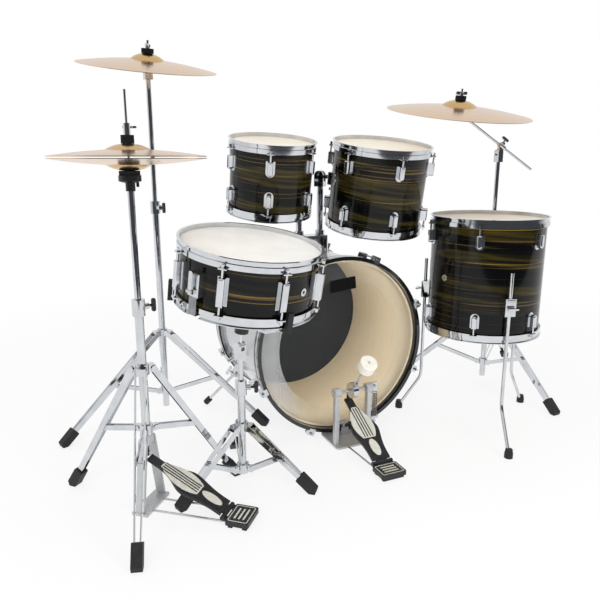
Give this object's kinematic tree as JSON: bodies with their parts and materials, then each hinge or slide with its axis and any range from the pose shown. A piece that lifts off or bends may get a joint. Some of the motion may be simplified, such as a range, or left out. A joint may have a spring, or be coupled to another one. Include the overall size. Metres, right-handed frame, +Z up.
{
  "type": "acoustic drum kit",
  "caption": "Acoustic drum kit: bass drum with pedal, rack toms, floor tom, snare on its stand, hi-hat, crash and boom-mounted ride cymbal.",
  "frame": {"origin": "on the floor, under the outer edge of the bass drum's batter hoop, on the bass drum's centre line", "axes": "+Z up, +Y from the player towards the bass drum's front head, +X to the player's right, towards the floor tom"},
  "size_m": [1.9366, 1.2187, 1.2491],
  "materials": {
    "dark wrap": "streaked gloss wrap over a wooden shell",
    "silver lacquer": "silver-grey lacquer on wood, bare inside",
    "black lacquer": "gloss black lacquer with an inlaid silver stripe",
    "chrome": "bright plated steel",
    "coated film": "matte white coated drum head",
    "cream film": "glossy cream drum head",
    "clear film": "clear drum head",
    "dark film": "dark grey drum head",
    "bronze": "lathed cymbal bronze",
    "cast alloy": "silver-grey cast alloy",
    "black footboard": "black board with a pale inlay",
    "steel wire": "spring steel wire"
  },
  "bodies": {
    "kit": {"bass_shell": "silver lacquer", "bass_batter_head": "clear film", "bass_front_head": "dark film", "bass_hoops": "black lacquer", "bass_hardware": "chrome", "tom_holder": "chrome", "floor_tom_shell": "dark wrap", "floor_tom_heads": "cream film", "floor_tom_hoops": "chrome", "floor_tom_hardware": "chrome", "kick_pedal_frame": "cast alloy", "kick_spring": "steel wire", "hi_hat_frame": "cast alloy", "hi_hat_tripod": "chrome", "crash_base_tube": "chrome", "crash_tripod": "chrome", "ride_base_tube": "chrome", "ride_tripod": "chrome", "snare_stand_tube": "chrome", "snare_stand_tripod": "chrome"},
    "left spur": {"spur_left": "chrome"},
    "right spur": {"spur_right": "chrome"},
    "left tom": {"left_tom_arm": "chrome", "left_tom_shell": "dark wrap", "left_tom_heads": "cream film", "left_tom_hoops": "chrome", "left_tom_tension_hardware": "chrome"},
    "right tom": {"right_tom_arm": "chrome", "right_tom_shell": "dark wrap", "right_tom_heads": "cream film", "right_tom_hoops": "chrome", "right_tom_tension_hardware": "chrome"},
    "floor tom leg 1": {"floor_tom_leg_1": "chrome"},
    "floor tom leg 2": {"floor_tom_leg_2": "chrome"},
    "floor tom leg 3": {"floor_tom_leg_3": "chrome"},
    "snare stand upper": {"snare_stand_upper_tube": "chrome"},
    "snare": {"snare_basket": "chrome", "snare_shell": "dark wrap", "snare_heads": "coated film", "snare_hoops": "chrome", "snare_tension_hardware": "chrome", "snare_strainer": "chrome", "snare_wires": "steel wire"},
    "throw-off": {"throw_off_lever": "chrome"},
    "kick footboard": {"kick_footboard": "black footboard"},
    "kick beater": {"kick_beater": "chrome"},
    "hi-hat upper": {"hi_hat_upper_tube": "chrome", "hi_hat_bottom_cymbal": "bronze"},
    "hi-hat rod": {"hi_hat_pull_rod": "chrome"},
    "hi-hat top": {"hi_hat_clutch": "chrome", "hi_hat_top_cymbal": "bronze"},
    "hi-hat footboard": {"hi_hat_footboard": "black footboard"},
    "crash upper": {"crash_upper_tube": "chrome"},
    "crash tilter": {"crash_tilter": "chrome"},
    "crash": {"crash_cymbal": "bronze"},
    "ride upper": {"ride_upper_tube": "chrome"},
    "ride clamp": {"ride_boom_clamp": "chrome"},
    "ride boom": {"ride_boom_arm": "chrome"},
    "ride tilter": {"ride_tilter": "chrome"},
    "ride": {"ride_cymbal": "bronze"}
  },
  "joints": [
    {"name": "kick_pedal_press", "type": "hinge", "parent": "kit", "child": "kick footboard", "pos_m": [0, -0.24942, 0.022], "axis": [1, 0, 0], "range_deg": [-7, 0], "stiffness_Nm_per_rad": 25, "springref_deg": 2.86},
    {"name": "kick_beater_swing", "type": "hinge", "parent": "kit", "child": "kick beater", "pos_m": [0, -0.065, 0.18], "axis": [1, 0, 0], "range_deg": [-60.8, 0], "deforming": ["kick_spring"]},
    {"name": "hi_hat_pedal_press", "type": "hinge", "parent": "kit", "child": "hi-hat footboard", "pos_m": [-0.49048, -0.30389, 0.022], "axis": [0.6561, 0.7547, 0], "range_deg": [-0.68, 0], "stiffness_Nm_per_rad": 60, "springref_deg": 6.88},
    {"name": "hi_hat_rod_pull", "type": "slide", "parent": "kit", "child": "hi-hat rod", "axis": [0, 0, 1], "range_m": [-0.0027, 0]},
    {"name": "hi_hat_clutch_height", "type": "slide", "parent": "hi-hat rod", "child": "hi-hat top", "axis": [0, 0, 1], "range_m": [0, 0.05]},
    {"name": "hi_hat_height", "type": "slide", "parent": "kit", "child": "hi-hat upper", "axis": [0, 0, 1], "range_m": [-0.08, 0]},
    {"name": "crash_height", "type": "slide", "parent": "kit", "child": "crash upper", "axis": [0, 0, 1], "range_m": [-0.2, 0.2]},
    {"name": "crash_tilt", "type": "hinge", "parent": "crash upper", "child": "crash tilter", "pos_m": [-0.497, 0.411, 1.17], "axis": [0.9945, 0.1045, 0], "range_deg": [-30, 20]},
    {"name": "crash_spin", "type": "hinge", "parent": "crash tilter", "child": "crash", "pos_m": [-0.497, 0.411, 1.17], "axis": [0.0217, -0.2068, 0.9781], "continuous": true},
    {"name": "ride_height", "type": "slide", "parent": "kit", "child": "ride upper", "axis": [0, 0, 1], "range_m": [-0.03, 0.15]},
    {"name": "ride_boom_tilt", "type": "hinge", "parent": "ride upper", "child": "ride clamp", "pos_m": [0.748, 0.19, 0.914], "axis": [0, 1, 0], "range_deg": [-8, 30]},
    {"name": "ride_boom_slide", "type": "slide", "parent": "ride clamp", "child": "ride boom", "axis": [-0.8746, 0, 0.4848], "range_m": [-0.05, 0.05]},
    {"name": "ride_tilt", "type": "hinge", "parent": "ride boom", "child": "ride tilter", "pos_m": [0.54973, 0.19, 1.05134], "axis": [0.1057, 0.9759, 0.1907], "range_deg": [-10, 8]},
    {"name": "ride_spin", "type": "hinge", "parent": "ride tilter", "child": "ride", "pos_m": [0.54973, 0.19, 1.05134], "axis": [-0.0133, -0.1903, 0.9816], "continuous": true},
    {"name": "snare_stand_height", "type": "slide", "parent": "kit", "child": "snare stand upper", "axis": [0, 0, 1], "range_m": [-0.04, 0.08]},
    {"name": "snare_tilt", "type": "hinge", "parent": "snare stand upper", "child": "snare", "pos_m": [-0.396, -0.148, 0.403], "axis": [0.891, 0.454, 0], "range_deg": [-10, 8]},
    {"name": "throw_off", "type": "hinge", "parent": "snare", "child": "throw-off", "pos_m": [-0.55544, -0.27898, 0.59355], "axis": [0.4931, -0.8525, -0.1734], "range_deg": [0, 90]},
    {"name": "left_spur_fold", "type": "hinge", "parent": "kit", "child": "left spur", "pos_m": [-0.2565, 0.352, 0.12999], "axis": [0.7986, 0, -0.6018], "range_deg": [0, 65]},
    {"name": "right_spur_fold", "type": "hinge", "parent": "kit", "child": "right spur", "pos_m": [0.2565, 0.352, 0.12999], "axis": [0.7986, 0, 0.6018], "range_deg": [0, 65]},
    {"name": "left_tom_tilt", "type": "hinge", "parent": "kit", "child": "left tom", "pos_m": [-0.04, 0.265, 0.85876], "axis": [0.6122, -0.7907, 0], "range_deg": [-4, 8]},
    {"name": "right_tom_tilt", "type": "hinge", "parent": "kit", "child": "right tom", "pos_m": [0.04, 0.265, 0.83394], "axis": [0.7754, 0.6315, 0], "range_deg": [-2, 6]},
    {"name": "floor_tom_leg_1_height", "type": "slide", "parent": "kit", "child": "floor tom leg 1", "axis": [0, 0, 1], "range_m": [0, 0.08]},
    {"name": "floor_tom_leg_2_height", "type": "slide", "parent": "kit", "child": "floor tom leg 2", "axis": [0, 0, 1], "range_m": [0, 0.08]},
    {"name": "floor_tom_leg_3_height", "type": "slide", "parent": "kit", "child": "floor tom leg 3", "axis": [0, 0, 1], "range_m": [0, 0.08]}
  ],
  "couplings": [
    {"joint": "kick_beater_swing", "follows": "kick_pedal_press", "ratio": 8.6852},
    {"joint": "hi_hat_rod_pull", "follows": "hi_hat_pedal_press", "m_per_rad": 0.2193}
  ]
}
